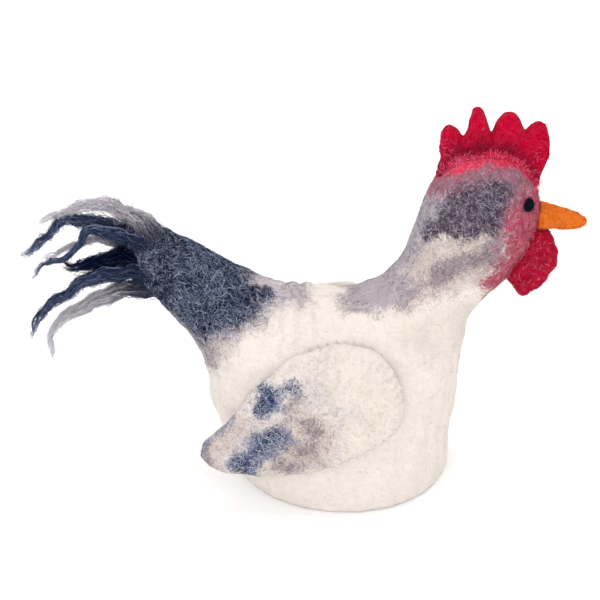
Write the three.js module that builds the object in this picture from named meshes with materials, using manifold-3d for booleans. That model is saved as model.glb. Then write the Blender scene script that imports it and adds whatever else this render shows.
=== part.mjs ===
// Egg cosy of wet-felted wool in the form of a standing cockerel. One hollow felt shell makes the
// skirt over the egg, the neck, the head and the tail root. Felt pieces are fixed to it: a comb,
// a wattle, a beak, two eyes and two wings, and the tail ends in loose locks of wool.
// Millimetres, +Z up, the beak towards +X. The hem stands on z = 0, and the origin is the middle
// of the floor under the whole bird.
import * as THREE from "three";
import { mergeVertices } from "three/addons/utils/BufferGeometryUtils.js";
import Module from "manifold-3d";

const wasm = await Module();
wasm.setup();

// Driving sizes.
const WALL = 3; // felt of the shell
const SEAM_GAP = 0.35; // air between pieces that touch
const SOFT_JOIN = 8; // how widely the trunk, the neck and the tail run into each other
const FELT = {
  cream: new THREE.MeshStandardMaterial({ color: 0xf0e6da, roughness: 1, metalness: 0 }),
  wing: new THREE.MeshStandardMaterial({ color: 0xe4dcd6, roughness: 1, metalness: 0 }),
  navy: new THREE.MeshStandardMaterial({ color: 0x2b3350, roughness: 1, metalness: 0 }),
  red: new THREE.MeshStandardMaterial({ color: 0xc0082f, roughness: 1, metalness: 0 }),
  orange: new THREE.MeshStandardMaterial({ color: 0xf07c12, roughness: 1, metalness: 0 }),
  black: new THREE.MeshStandardMaterial({ color: 0x0d1020, roughness: 0.9, metalness: 0 }),
};

// The shell is the skin round three rows of egg shapes that stand in the bird's mid-plane. Each
// row gives a centre (x, z) and the half-sizes along the bird, across it and up.
const TRUNK = [
  { x: 0.3, z: -24, long: 31, wide: 29.5, tall: 30 },
  { x: 0.3, z: 0, long: 31, wide: 29.5, tall: 30 },
  { x: -1.6, z: 13, long: 32.8, wide: 29.5, tall: 29 },
  { x: -4, z: 26, long: 35, wide: 28, tall: 28 },
];
const NECK = [
  { x: 6, z: 32, long: 27, wide: 23, tall: 22 },
  { x: 16, z: 44, long: 18.6, wide: 19, tall: 14.6 },
  { x: 25.6, z: 59.5, long: 12.8, wide: 14.4, tall: 12.8 },
  { x: 33.6, z: 73, long: 15.4, wide: 13.8, tall: 14.6 },
  { x: 37.5, z: 82, long: 16.6, wide: 13.5, tall: 15.8 },
  { x: 38.7, z: 87.7, long: 15.6, wide: 12.5, tall: 14.6 },
];
const TAIL = [
  { x: -11, z: 32, long: 24, wide: 22, tall: 20 },
  { x: -27.5, z: 46, long: 16.5, wide: 15, tall: 15 },
  { x: -39, z: 56.5, long: 12, wide: 10, tall: 11.6 },
  { x: -47.7, z: 64.3, long: 10.4, wide: 7.5, tall: 10.4 },
  { x: -53.5, z: 68.8, long: 8.6, wide: 6.2, tall: 9.2 },
];
const TAIL_END = { x: -51.5, z: 66.5, lean: 0.2 }; // where felt gives way to loose locks
const HEAD_FLOOR = 84; // the head is felted solid above this height
const TAIL_STOP = -43; // and the tail root behind this one
const SKIRT_SPARE = 6; // how far the skirt runs below the hem before it is trimmed
const STEPS_BETWEEN = 7; // egg shapes worked out between two given rows
const LEAST_SLOPE = 0.2; // a form flatter than this gives no way to its skin

function between(rows) {
  const column = (name) => rows.map((row) => row[name]);
  const at = (values, t) => {
    const i = Math.min(Math.floor(t), values.length - 2);
    const pick = (k) => values[THREE.MathUtils.clamp(k, 0, values.length - 1)];
    const [a, b, c, d] = [pick(i - 1), pick(i), pick(i + 1), pick(i + 2)];
    const u = t - i;
    return b + 0.5 * u * (c - a + u * (2 * a - 5 * b + 4 * c - d + u * (3 * (b - c) + d - a)));
  };
  const names = Object.keys(rows[0]);
  const count = (rows.length - 1) * STEPS_BETWEEN;
  return Array.from({ length: count + 1 }, (_, k) =>
    Object.fromEntries(names.map((name) => [name, at(column(name), k / STEPS_BETWEEN)])),
  );
}

// Distance from an egg shape's surface, near enough, negative inside.
function fromEgg(egg, x, y, z) {
  const [u, v, w] = [(x - egg.x) / egg.long, y / egg.wide, (z - egg.z) / egg.tall];
  const reach = Math.hypot(u, v, w);
  const slope = Math.hypot(u / egg.long, v / egg.wide, w / egg.tall);
  return slope > 0 ? (reach * (reach - 1)) / slope : -egg.wide;
}

const chains = [TRUNK, NECK, TAIL].map(between);

// Distance from the shell's outside, negative in the felt and in the hollow.
function fromShell(x, y, z) {
  const near = chains.map((eggs) => Math.min(...eggs.map((egg) => fromEgg(egg, x, y, z))));
  return near.reduce((a, b) => {
    const share = Math.max(SOFT_JOIN - Math.abs(a - b), 0) / SOFT_JOIN;
    return Math.min(a, b) - (share * share * SOFT_JOIN) / 4;
  });
}

// The outside with the skirt run on below the hem, to be trimmed off level.
const fromOutside = (x, y, z) => Math.max(fromShell(x, y, z), -SKIRT_SPARE - z);

// Distance from the hollow's wall, which stops short of the head and of the tail's end.
const fromHollow = (x, y, z) =>
  Math.max(fromShell(x, y, z) + WALL, z - HEAD_FLOOR, TAIL_STOP - x, -2 * SKIRT_SPARE - z);

// The skin where a form's distance is nought: one point in each cell of a grid that the skin
// crosses, and a face round each grid edge that it crosses. The grid runs from low to high.
const PROBE = 0.05; // step that a slope is felt over, as a share of a cell
const SETTLE_ROUNDS = 2;
function skin(form, { cell, low, high }) {
  const count = low.map((l, k) => Math.ceil((high[k] - l) / cell) + 1);
  const place = (i, j, k) => [low[0] + i * cell, low[1] + j * cell, low[2] + k * cell];
  const index = (i, j, k) => (k * count[1] + j) * count[0] + i;
  const value = new Float64Array(count[0] * count[1] * count[2]);
  const each = (from, visit) => {
    for (let k = from; k < count[2] - 1; k++)
      for (let j = from; j < count[1] - 1; j++)
        for (let i = from; i < count[0] - 1; i++) visit(i, j, k);
  };
  for (let k = 0; k < count[2]; k++)
    for (let j = 0; j < count[1]; j++)
      for (let i = 0; i < count[0]; i++) value[index(i, j, k)] = form(...place(i, j, k));
  const corners = [0, 1, 2, 3, 4, 5, 6, 7].map((c) => [c & 1, (c >> 1) & 1, c >> 2]);
  const edges = corners.flatMap((a, i) =>
    [1, 2, 4].filter((bit) => !(i & bit)).map((bit) => [a, corners[i | bit]]),
  );
  const pointOf = new Map();
  const points = [];
  each(0, (i, j, k) => {
    const sum = new THREE.Vector3();
    let crossed = 0;
    for (const [a, b] of edges) {
      const va = value[index(i + a[0], j + a[1], k + a[2])];
      const vb = value[index(i + b[0], j + b[1], k + b[2])];
      if (va < 0 === vb < 0) continue;
      const pa = new THREE.Vector3(...place(i + a[0], j + a[1], k + a[2]));
      sum.add(pa.lerp(new THREE.Vector3(...place(i + b[0], j + b[1], k + b[2])), va / (va - vb)));
      crossed++;
    }
    if (!crossed) return;
    pointOf.set(index(i, j, k), points.length);
    points.push(sum.divideScalar(crossed));
  });
  points.forEach((point) => settle(form, point, cell * PROBE));
  const faces = [];
  const shift = [[1, 0, 0], [0, 1, 0], [0, 0, 1]];
  each(1, (i, j, k) => {
    shift.forEach((s, axis) => {
      const here = value[index(i, j, k)] < 0;
      if (here === value[index(i + s[0], j + s[1], k + s[2])] < 0) return;
      const [p, q] = [shift[(axis + 1) % 3], shift[(axis + 2) % 3]];
      const ring = [[0, 0], [1, 0], [1, 1], [0, 1]].map(([a, b]) =>
        pointOf.get(index(i - a * p[0] - b * q[0], j - a * p[1] - b * q[1], k - a * p[2] - b * q[2])),
      );
      const [a, b, c, d] = here ? ring : ring.reverse();
      faces.push(a, b, c, a, c, d);
    });
  });
  return indexed(points, faces);
}

// How fast a form's distance grows along each axis at a point.
function slopeOf(form, point, step) {
  const slope = ["x", "y", "z"].map((axis) => {
    const [less, more] = [point.clone(), point.clone()];
    less[axis] -= step;
    more[axis] += step;
    return (form(...more.toArray()) - form(...less.toArray())) / (2 * step);
  });
  return new THREE.Vector3(...slope);
}

// Moves a point onto a form's skin, down the form's slope.
function settle(form, point, step) {
  for (let round = 0; round < SETTLE_ROUNDS; round++) {
    const slope = slopeOf(form, point, step);
    if (slope.lengthSq() < LEAST_SLOPE) return;
    point.addScaledVector(slope, -form(...point.toArray()) / slope.lengthSq());
  }
}

function indexed(points, faces) {
  const geometry = new THREE.BufferGeometry();
  geometry.setAttribute(
    "position",
    new THREE.Float32BufferAttribute(points.flatMap((p) => p.toArray()), 3),
  );
  geometry.setIndex(faces);
  return geometry;
}

// Between three.js geometry and solids that can be joined and cut.
function solid(geometry) {
  const bare = geometry.clone();
  bare.deleteAttribute("normal");
  bare.deleteAttribute("uv");
  const merged = mergeVertices(bare, 1e-4);
  return new wasm.Manifold(
    new wasm.Mesh({
      numProp: 3,
      vertProperties: merged.attributes.position.array,
      triVerts: new Uint32Array(merged.index.array),
    }),
  );
}
function geometryOf(body) {
  const mesh = body.getMesh();
  const geometry = new THREE.BufferGeometry();
  geometry.setAttribute("position", new THREE.BufferAttribute(mesh.vertProperties, 3));
  geometry.setIndex(new THREE.BufferAttribute(mesh.triVerts, 1));
  return geometry;
}

const around = (sides) => Array.from({ length: sides }, (_, k) => (k * 2 * Math.PI) / sides);

// A closed skin over rings of points, each ring in the same order, with a point at either end.
function lofted(rings, first, last) {
  const count = rings[0].length;
  const points = [...rings.flat(), first, last];
  const [start, end] = [rings.length * count, rings.length * count + 1];
  const faces = [];
  for (let j = 0; j < count; j++) {
    const next = (j + 1) % count;
    faces.push(start, next, j);
    const top = (rings.length - 1) * count;
    faces.push(end, top + j, top + next);
    for (let i = 0; i < rings.length - 1; i++) {
      const [a, b] = [i * count, (i + 1) * count];
      faces.push(a + j, a + next, b + next, a + j, b + next, b + j);
    }
  }
  return indexed(points, faces);
}

// Shell: the outer skin less the hollow, less all that is under the hem and past the tail's end.
const OUTER_GRID = { cell: 3.8, low: [-72.2, -34.2, -13.3], high: [60, 34.2, 108] };
const HOLLOW_GRID = { cell: 4.6, low: [-59.8, -32.2, -20.7], high: [60, 32.2, 96] };
const BIG = 200; // further than the bird reaches
const outer = solid(skin(fromOutside, OUTER_GRID));
const hollow = solid(skin(fromHollow, HOLLOW_GRID));
const underFloor = solid(new THREE.BoxGeometry(BIG, BIG, BIG).translate(0, 0, -BIG / 2));
function beyondTailEnd(side, ahead = 0) {
  const box = new THREE.BoxGeometry(BIG, BIG, BIG).translate((side * BIG) / 2 + ahead, 0, 0);
  return solid(box.rotateY(TAIL_END.lean).translate(TAIL_END.x, 0, TAIL_END.z));
}
const shell = outer.subtract(hollow).subtract(underFloor).subtract(beyondTailEnd(-1));

// Head room: the head and the neck grown by the gap, cut from what is sewn on there.
const HEAD_ROOM = { x: 14, z: 52 }; // where it is cut short, behind and below
const HEAD_GRID = { cell: 2.6, low: [8.2, -24, 46.1], high: [62, 24, 108] };
const fromHeadRoom = (x, y, z) =>
  Math.max(fromShell(x, y, z) - SEAM_GAP, HEAD_ROOM.x - x, HEAD_ROOM.z - z);
const headRoom = solid(skin(fromHeadRoom, HEAD_GRID));

// A flat felt piece in the mid-plane, cut to an outline of points (x, z) and rounded at its edge.
const ROUNDING_STEPS = 3;
function feltFlat(outline, thick, rounding) {
  const shape = new THREE.Shape(outline.map(([x, z]) => new THREE.Vector2(x, z)));
  const geometry = new THREE.ExtrudeGeometry(shape, {
    depth: thick - 2 * rounding,
    bevelThickness: rounding,
    bevelSize: rounding,
    bevelOffset: -rounding,
    bevelSegments: ROUNDING_STEPS,
  });
  return solid(geometry.translate(0, 0, rounding - thick / 2).rotateX(Math.PI / 2));
}

// Comb: four lobes, cut from one flat. Its foot is hidden by the crown that it is sewn to.
const COMB = { thick: 4.2, rounding: 1.1 };
const COMB_OUTLINE = [
  [28, 91], [25.7, 94], [25.3, 96], [26.3, 100], [26.1, 106.5], [26.9, 109], [28.3, 109.9],
  [30.4, 108.9], [32.4, 107.3], [33.6, 109.6], [34.2, 112.6], [35.1, 115], [36.6, 115.2],
  [38.1, 112.9], [39.9, 109.2], [41.9, 112], [43.7, 114], [45.8, 113.9], [47.7, 111.8],
  [49.3, 109.1], [51.2, 110.3], [53.4, 110.9], [55.2, 109.9], [56, 107], [56.1, 102],
  [54.7, 96.5], [53.4, 92], [50, 91], [42, 96], [35, 94.5],
];
const comb = feltFlat(COMB_OUTLINE, COMB.thick, COMB.rounding).subtract(headRoom);

// Wattle: one lobe under the beak, on the throat.
const WATTLE = { thick: 4.8, rounding: 1.5 };
const WATTLE_OUTLINE = [
  [50, 77.6], [54.6, 78.1], [56.9, 77.4], [58.9, 75.2], [60.2, 71.2], [59.9, 66.5], [58, 62.6],
  [55, 59.4], [52.6, 57.4], [51, 57.2], [49.3, 58.6], [47.6, 61.4], [46, 63.4], [43, 65.5],
];
const wattle = feltFlat(WATTLE_OUTLINE, WATTLE.thick, WATTLE.rounding).subtract(headRoom);

// Beak: a blunt cone along a straight line, in steps of reach from its root, with its radius.
const BEAK = { x: 50, z: 83.4, drop: 0.178, sides: 18 };
const BEAK_STEPS = [
  { reach: 0, radius: 4.1 },
  { reach: 4.4, radius: 4 },
  { reach: 8.6, radius: 3.5 },
  { reach: 12.4, radius: 3 },
  { reach: 15.4, radius: 2.5 },
  { reach: 17.2, radius: 1.9 },
  { reach: 18.3, radius: 1 },
];
const BEAK_LENGTH = 18.6;
function beakPoint(reach, radius, turn) {
  const up = radius * Math.cos(turn);
  return new THREE.Vector3(
    BEAK.x + reach * Math.cos(BEAK.drop) + up * Math.sin(BEAK.drop),
    -radius * Math.sin(turn),
    BEAK.z - reach * Math.sin(BEAK.drop) + up * Math.cos(BEAK.drop),
  );
}
const beak = solid(
  lofted(
    BEAK_STEPS.map(({ reach, radius }) =>
      around(BEAK.sides).map((turn) => beakPoint(reach, radius, turn)),
    ),
    beakPoint(0, 0, 0),
    beakPoint(BEAK_LENGTH, 0, 0),
  ),
).subtract(headRoom);

// Where a side of the bird lies at (x, z), and which way it faces there. Behind the seam of the
// wing the felt of the wing runs on nearly straight and leaves the body.
const WING_FREE = { from: -12, slope: 0.2 };
const HALVINGS = 30; // of the search across the bird for its side
const FACING_STEP = 0.2;
function sideOf(x, z) {
  const seam = Math.max(x, WING_FREE.from);
  let [inside, outside] = [0, BIG];
  for (let round = 0; round < HALVINGS; round++) {
    const y = (inside + outside) / 2;
    if (fromShell(seam, -y, z) < 0) inside = y;
    else outside = y;
  }
  const point = new THREE.Vector3(seam, -inside, z);
  const facing = slopeOf(fromShell, point, FACING_STEP).normalize();
  return { point: point.add(new THREE.Vector3(x - seam, WING_FREE.slope * (seam - x), 0)), facing };
}

// Eyes: needle-felted dots, proud of the face.
const EYE = { x: 50.4, z: 89.7, radius: 2.15, flat: 0.62, sides: 16, rings: 10 };
const eyeSeat = sideOf(EYE.x, EYE.z);
const eyeBall = new THREE.SphereGeometry(EYE.radius, EYE.sides, EYE.rings).scale(1, 1, EYE.flat);
eyeBall.applyQuaternion(
  new THREE.Quaternion().setFromUnitVectors(new THREE.Vector3(0, 0, 1), eyeSeat.facing),
);
const eye = solid(eyeBall.translate(...eyeSeat.point.toArray())).subtract(headRoom);

// Wings: one flat of thick felt on either side, stitched on round its front half. The outline
// is given as points (x, z) on the body's side. Rings run from the middle of the inner face over
// the rounded edge to the middle of the outer face. The left wing sits a little lower.
const WING = { thick: 3.7, gap: 0.55, points: 34, middle: [-11, 29], leftLower: 5 };
const WING_OUTLINE = [
  [-41.3, 17.2], [-40, 22], [-36.4, 26], [-28.8, 35.2], [-23, 40.8], [-15.6, 45.4],
  [-7.3, 48.1], [1.1, 48.8], [9.3, 46.7], [14.4, 41.2], [15.8, 33.3], [13.2, 26.8], [6.4, 22.4],
  [-3, 18], [-12.3, 14.8], [-23.3, 12.6], [-33.2, 12.2], [-38.6, 13.5],
];
const WING_RINGS = [
  { spread: 0.22, depth: 0 },
  { spread: 0.45, depth: 0 },
  { spread: 0.67, depth: 0 },
  { spread: 0.85, depth: 0 },
  { spread: 0.95, depth: 0.06 },
  { spread: 0.99, depth: 0.28 },
  { spread: 1, depth: 0.55 },
  { spread: 0.975, depth: 0.84 },
  { spread: 0.92, depth: 1 },
  { spread: 0.78, depth: 1.06 },
  { spread: 0.55, depth: 1.02 },
  { spread: 0.28, depth: 1 },
];
const wingEdge = new THREE.CatmullRomCurve3(
  WING_OUTLINE.map(([x, z]) => new THREE.Vector3(x, 0, z)),
  true,
)
  .getSpacedPoints(WING.points)
  .slice(1)
  .reverse();
function wing(lower) {
  const place = (edge, { spread, depth }) => {
    const x = WING.middle[0] + spread * (edge.x - WING.middle[0]);
    const z = WING.middle[1] + spread * (edge.z - WING.middle[1]) - lower;
    const { point, facing } = sideOf(x, z);
    return point.addScaledVector(facing, WING.gap + depth * WING.thick);
  };
  const middle = new THREE.Vector3();
  return solid(
    lofted(
      WING_RINGS.map((ring) => wingEdge.map((edge) => place(edge, ring))),
      place(middle, { spread: 0, depth: 0 }),
      place(middle, { spread: 0, depth: 1 }),
    ),
  );
}

// Tail locks: loose wool in long tapering locks that grow out of one matted root. Each lock is
// given by its middle line of points (x, z), how far it stands aside of the mid-plane, how deep
// it is across the bird, and its widths at the root, half-way and near the tip.
const LOCK_STEPS = 11;
const LOCK_TIP = 0.3;
const LOCKS = {
  greyTop: {
    aside: 0, deep: 2.4, wide: [5, 3.6, 1],
    path: [[-52, 72], [-58.9, 81], [-66, 85.2], [-72.3, 85.9], [-80.9, 82.9], [-90.6, 78.3]],
  },
  navyLong: {
    aside: 0.6, deep: 2.4, wide: [5, 3.8, 2],
    path: [
      [-52, 70.5], [-58.6, 75.4], [-64.2, 77.6], [-72, 79.4], [-79.6, 80.8], [-85.6, 75],
      [-90, 71], [-95.2, 69],
    ],
  },
  navyHook: {
    aside: -2.8, deep: 2, wide: [3.6, 2.4, 0.9],
    path: [
      [-52, 70.5], [-60, 75.4], [-69, 78.9], [-73.6, 78.4], [-76.4, 74], [-79.5, 70.6],
      [-84.7, 69.3], [-89, 66.6], [-90.6, 62.4],
    ],
  },
  greyUnder: {
    aside: 2.8, deep: 1.8, wide: [3, 1.6, 1],
    path: [[-52, 65.4], [-61.5, 71.4], [-70.5, 73.2], [-76, 72], [-84.5, 68.3], [-90, 66.3]],
  },
  darkThick: {
    aside: 0, deep: 3, wide: [5, 4.3, 1.6],
    path: [[-52, 65], [-58, 68.4], [-66, 68.1], [-72.5, 66.7], [-78.5, 65.7], [-83, 66.6]],
  },
  navyLower: {
    aside: 0, deep: 2.2, wide: [3.6, 2.9, 1.2],
    path: [
      [-52, 61.5], [-59, 64.6], [-67, 63.6], [-74, 61.9], [-79.5, 57.2], [-86, 52.4],
      [-89.6, 46.5], [-91.9, 39.7],
    ],
  },
  greyLower: {
    aside: 0, deep: 2.6, wide: [4, 4.2, 1.2],
    path: [
      [-52, 58.6], [-60, 59.2], [-67, 57.2], [-74, 53.6], [-82.4, 48.3], [-86, 42], [-85.5, 33.2],
    ],
  },
};
// Fellows of the same locks that lie beside them, a little lower and shorter.
const FELLOWS = [
  { lock: "greyTop", aside: 3, lower: 1.9, keep: 0.8 },
  { lock: "darkThick", aside: 3.7, lower: 2, keep: 0.85 },
  { lock: "navyLower", aside: -2.7, lower: -1.5, keep: 0.8 },
  { lock: "greyLower", aside: 3.1, lower: 1.8, keep: 0.75 },
];
function lockBody({ aside, deep, wide, path }, shift = { aside: 0, lower: 0, keep: 1 }) {
  const line = new THREE.CatmullRomCurve3(
    path.map(([x, z]) => new THREE.Vector3(x, aside + shift.aside, z - shift.lower)),
  );
  const rings = Array.from({ length: LOCK_STEPS + 1 }, (_, k) => {
    const along = k / LOCK_STEPS;
    const at = line.getPointAt(along * shift.keep);
    const heading = line.getTangentAt(along * shift.keep);
    const widest = along < 0.5
      ? THREE.MathUtils.lerp(wide[0], wide[1], 2 * along)
      : THREE.MathUtils.lerp(wide[1], wide[2], 2 * along - 1);
    const out = new THREE.Vector3(-heading.z, 0, heading.x).multiplyScalar(widest / 2);
    const across = new THREE.Vector3(0, (-deep / 2) * Math.sqrt(widest / wide[0]), 0);
    return [out, across, out.clone().negate(), across.clone().negate()].map((arm) => arm.add(at));
  });
  const tip = line.getPointAt(shift.keep).addScaledVector(line.getTangentAt(shift.keep), LOCK_TIP);
  return solid(lofted(rings, line.getPointAt(0), tip));
}
const lockBodies = [
  ...Object.values(LOCKS).map((lock) => lockBody(lock)),
  ...FELLOWS.map((shift) => lockBody(LOCKS[shift.lock], shift)),
];
const tailLocks = wasm.Manifold.union([
  outer.intersect(beyondTailEnd(-1)),
  ...lockBodies,
]).subtract(beyondTailEnd(1, -SEAM_GAP));

const group = new THREE.Group();
function add(name, body, material) {
  const mesh = new THREE.Mesh(geometryOf(body), material);
  mesh.name = name;
  group.add(mesh);
}
add("shell", shell, FELT.cream);
add("comb", comb, FELT.red);
add("wattle", wattle, FELT.red);
add("beak", beak, FELT.orange);
add("eye_right", eye, FELT.black);
add("eye_left", eye.mirror([0, 1, 0]), FELT.black);
add("wing_right", wing(0), FELT.wing);
add("wing_left", wing(WING.leftLower).mirror([0, 1, 0]), FELT.wing);
add("tail_locks", tailLocks, FELT.navy);

// The plan origin is the middle of the whole bird, beak to tail.
const whole = new THREE.Box3().setFromObject(group);
group.position.x = -(whole.min.x + whole.max.x) / 2;

export default group;
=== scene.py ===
import math
import bpy
import numpy as np
from mathutils.bvhtree import BVHTree
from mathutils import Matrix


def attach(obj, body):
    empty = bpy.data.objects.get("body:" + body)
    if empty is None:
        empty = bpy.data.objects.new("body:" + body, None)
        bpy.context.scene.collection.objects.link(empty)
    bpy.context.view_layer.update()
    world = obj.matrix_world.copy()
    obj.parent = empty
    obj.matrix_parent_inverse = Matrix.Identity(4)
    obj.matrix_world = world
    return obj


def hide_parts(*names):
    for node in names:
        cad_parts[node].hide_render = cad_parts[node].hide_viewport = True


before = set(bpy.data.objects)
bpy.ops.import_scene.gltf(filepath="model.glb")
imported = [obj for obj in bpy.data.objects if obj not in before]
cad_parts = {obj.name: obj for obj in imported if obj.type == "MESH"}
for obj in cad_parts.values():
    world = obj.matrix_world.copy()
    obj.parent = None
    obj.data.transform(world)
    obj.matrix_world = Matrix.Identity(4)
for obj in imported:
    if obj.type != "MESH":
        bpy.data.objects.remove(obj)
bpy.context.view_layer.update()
MM = 0.001

# Table top, light and camera.
# A white table top under bright white light from all round, as for a plain catalogue picture.
# One large lamp beside the camera lights the side that shows, and one overhead the back and rims.
scene = bpy.context.scene
scene.view_settings.view_transform = "Standard"


def node(tree, kind, inputs=None, **settings):
    """Adds a shader node: settings first, then its inputs as values or as other nodes' sockets."""
    made = tree.nodes.new(kind)
    for name, value in settings.items():
        setattr(made, name, value)
    for name, value in (inputs or {}).items():
        if isinstance(value, bpy.types.NodeSocket):
            tree.links.new(value, made.inputs[name])
        else:
            made.inputs[name].default_value = value
    return made


def build(name, points, faces, material):
    """A mesh object from points in millimetres."""
    mesh = bpy.data.meshes.new(name)
    mesh.from_pydata((np.asarray(points, float) * MM).tolist(), [], np.asarray(faces).tolist())
    mesh.polygons.foreach_set("use_smooth", [True] * len(mesh.polygons))
    mesh.materials.append(material)
    made = bpy.data.objects.new(name, mesh)
    scene.collection.objects.link(made)
    return made


white_paint = bpy.data.materials.new("table_white")
white_paint.use_nodes = True
tree = white_paint.node_tree
speck = node(tree, "ShaderNodeTexNoise", {"Scale": 40.0, "Detail": 3.0})
shade = node(tree, "ShaderNodeMapRange", {"Value": speck.outputs["Fac"], "To Min": 0.94, "To Max": 0.96})
tree.links.new(shade.outputs[0], tree.nodes["Principled BSDF"].inputs["Base Color"])
tree.nodes["Principled BSDF"].inputs["Roughness"].default_value = 0.9
TABLE = 3000
table = build(
    "table_top",
    [(-TABLE, -TABLE, 0), (TABLE, -TABLE, 0), (TABLE, TABLE, 0), (-TABLE, TABLE, 0)],
    [(0, 1, 2, 3)],
    white_paint,
)

room = bpy.data.worlds.new("white_room")
room.use_nodes = True
room.node_tree.nodes["Background"].inputs["Color"].default_value = (1.0, 1.0, 1.0, 1)
room.node_tree.nodes["Background"].inputs["Strength"].default_value = 1.2
scene.world = room


def lamp(name, place, toward, size, watts):
    """A round lamp at a place, turned toward another."""
    data = bpy.data.lights.new(name, "AREA")
    data.shape, data.size, data.energy = "DISK", size, watts
    made = bpy.data.objects.new(name, data)
    scene.collection.objects.link(made)
    made.location = place
    aim = np.subtract(toward, place)
    made.rotation_euler = (
        math.atan2(math.hypot(aim[0], aim[1]), -aim[2]), 0, math.atan2(-aim[0], aim[1])
    )
    return made


lamp("lamp_beside_camera", (-0.25, -1.1, 0.6), (0, 0, 0.05), 0.9, 3.0)
lamp("lamp_overhead", (-0.15, 0.1, 1.2), (0, 0, 0.05), 0.6, 2.2)

camera = bpy.data.objects.new("camera", bpy.data.cameras.new("camera"))
scene.collection.objects.link(camera)
scene.camera = camera
camera.data.lens, camera.data.sensor_width = 124.25, 36
CAMERA_TILT, CAMERA_REACH, CAMERA_AIM = math.radians(29.343), 0.6, (0.00062, 0, 0.054825)
camera.location = (
    CAMERA_AIM[0],
    -CAMERA_REACH * math.cos(CAMERA_TILT),
    CAMERA_AIM[2] + CAMERA_REACH * math.sin(CAMERA_TILT),
)
camera.rotation_euler = (math.pi / 2 - CAMERA_TILT, 0, 0)

# Shell.
# The shell is wool wetted and rubbed over a hollow form until it felts into one seamless skin,
# cream all over with grey, navy and red wool laid on before felting, so that the colours run
# into each other fibre by fibre. Its hem is cut and left raw.
ROOM_LIGHT = 1.24  # how many times brighter than plain white this room shows white wool


def wool(red, green, blue):
    """The light reflected by a wool that looks like this, from 0 to 255, in the room's light."""
    return [
        (((c / 255 + 0.055) / 1.055) ** 2.4 if c > 10 else c / 255 / 12.92) / ROOM_LIGHT
        for c in (red, green, blue)
    ]


def drift(points, size, seed):
    """Smooth wandering values about nought, in lumps of the given size."""
    rng = np.random.default_rng(seed)
    ways = rng.normal(size=(14, 3))
    ways *= (2 * math.pi / size) * rng.uniform(0.6, 1.3, (14, 1)) / np.linalg.norm(ways, axis=1)[:, None]
    return np.sin(points @ ways.T + rng.uniform(0, 2 * math.pi, 14)).sum(1) / math.sqrt(14)


# The side view is from a little above: each millimetre off the mid-plane looks this much lower.
SLANT = 0.56
RIDGE = 8  # how far the colours of the back and the crown run on down the far side


def inside(points, outline):
    """How far points lie within an outline (x, height as seen); negative outside it."""
    y = points[:, 1]
    off_plane = np.where(y < 0, -y, y - 1.5 * np.minimum(y, RIDGE))
    place = np.column_stack([points[:, 0], points[:, 2] - SLANT * off_plane])
    start = np.array(outline, float)
    edge = np.roll(start, -1, 0) - start
    best = np.full(len(place), 1e9)
    crossed = np.zeros(len(place), int)
    for (x, z), (ex, ez) in zip(start, edge):
        rx, rz = place[:, 0] - x, place[:, 1] - z
        along = np.clip((rx * ex + rz * ez) / (ex * ex + ez * ez), 0, 1)
        best = np.minimum(best, np.hypot(rx - along * ex, rz - along * ez))
        if ez:
            crossed += ((z > place[:, 1]) != (z + ez > place[:, 1])) & (rx < ex * rz / ez)
    return np.where(crossed % 2 == 1, best, -best)


def refelt(node_name, voxel, rounds):
    """A finer, rounder skin round a CAD solid: its points in millimetres, normals and faces."""
    rough = bpy.data.objects.new("rough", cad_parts[node_name].data.copy())
    scene.collection.objects.link(rough)
    remesh = rough.modifiers.new("remesh", "REMESH")
    remesh.mode, remesh.voxel_size = "VOXEL", voxel * MM
    round_off = rough.modifiers.new("round_off", "SMOOTH")
    round_off.factor, round_off.iterations = 0.5, rounds
    fine = bpy.data.meshes.new_from_object(rough.evaluated_get(bpy.context.evaluated_depsgraph_get()))
    points = np.empty(len(fine.vertices) * 3)
    fine.vertices.foreach_get("co", points)
    faces = np.empty(len(fine.polygons) * 4, int)
    fine.polygons.foreach_get("vertices", faces)
    bpy.data.objects.remove(rough)
    bpy.data.meshes.remove(fine)
    points, faces = points.reshape(-1, 3) / MM, faces.reshape(-1, 4)
    return points, facing(points, faces), faces


def facing(points, faces):
    """The outward normal at each point of a skin of four-sided faces."""
    across = np.cross(points[faces[:, 2]] - points[faces[:, 0]], points[faces[:, 3]] - points[faces[:, 1]])
    out = np.zeros_like(points)
    for k in range(4):
        np.add.at(out, faces[:, k], across)
    return out / np.maximum(np.linalg.norm(out, axis=1), 1e-12)[:, None]


def note(piece, name, values):
    """Stores a value, or a colour, at each point of a piece for its material to read."""
    kind = "FLOAT" if np.ndim(values) == 1 else "FLOAT_COLOR"
    held = piece.data.attributes.new(name, kind, "POINT")
    if kind == "FLOAT":
        held.data.foreach_set("value", values)
    else:
        held.data.foreach_set("color", np.column_stack([values, np.ones(len(values))]).ravel())


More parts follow.
